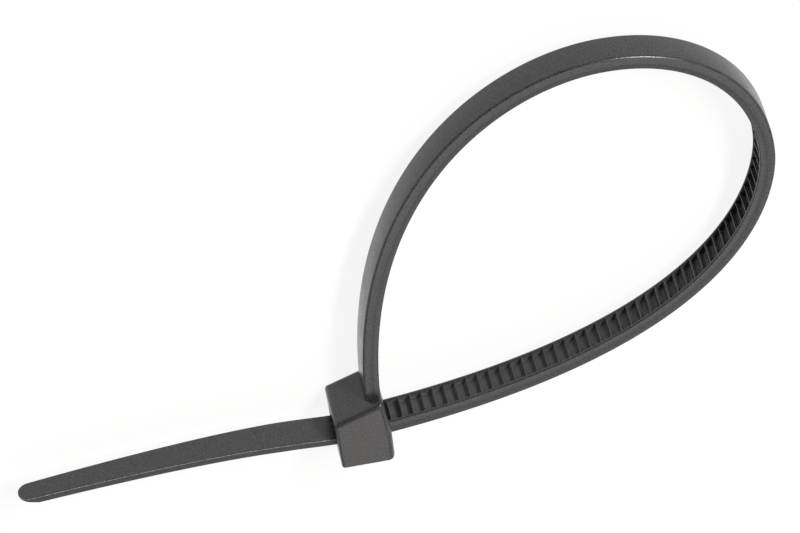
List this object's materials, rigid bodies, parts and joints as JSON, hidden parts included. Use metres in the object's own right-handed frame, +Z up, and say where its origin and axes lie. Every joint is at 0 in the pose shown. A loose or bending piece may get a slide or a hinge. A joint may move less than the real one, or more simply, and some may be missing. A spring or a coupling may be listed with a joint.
{
  "type": "cable tie",
  "caption": "Miniature nylon cable tie closed into a teardrop loop, with ratchet teeth inside, a boxy locking head and a smooth tapered tail.",
  "frame": {"origin": "on the lower side face of the head, under the middle of the slot, which is the face that the head lies on", "axes": "+Z up from the table and across the strap's width; +Y from the head's base to the strap's root; -X along the slot to the free tail, +X to the loop's far end"},
  "size_m": [0.0596, 0.0341, 0.0048],
  "materials": {
    "black_nylon": "satin, fine moulded texture"
  },
  "bodies": {
    "root": {"cable_tie": "black_nylon"}
  },
  "joints": []
}
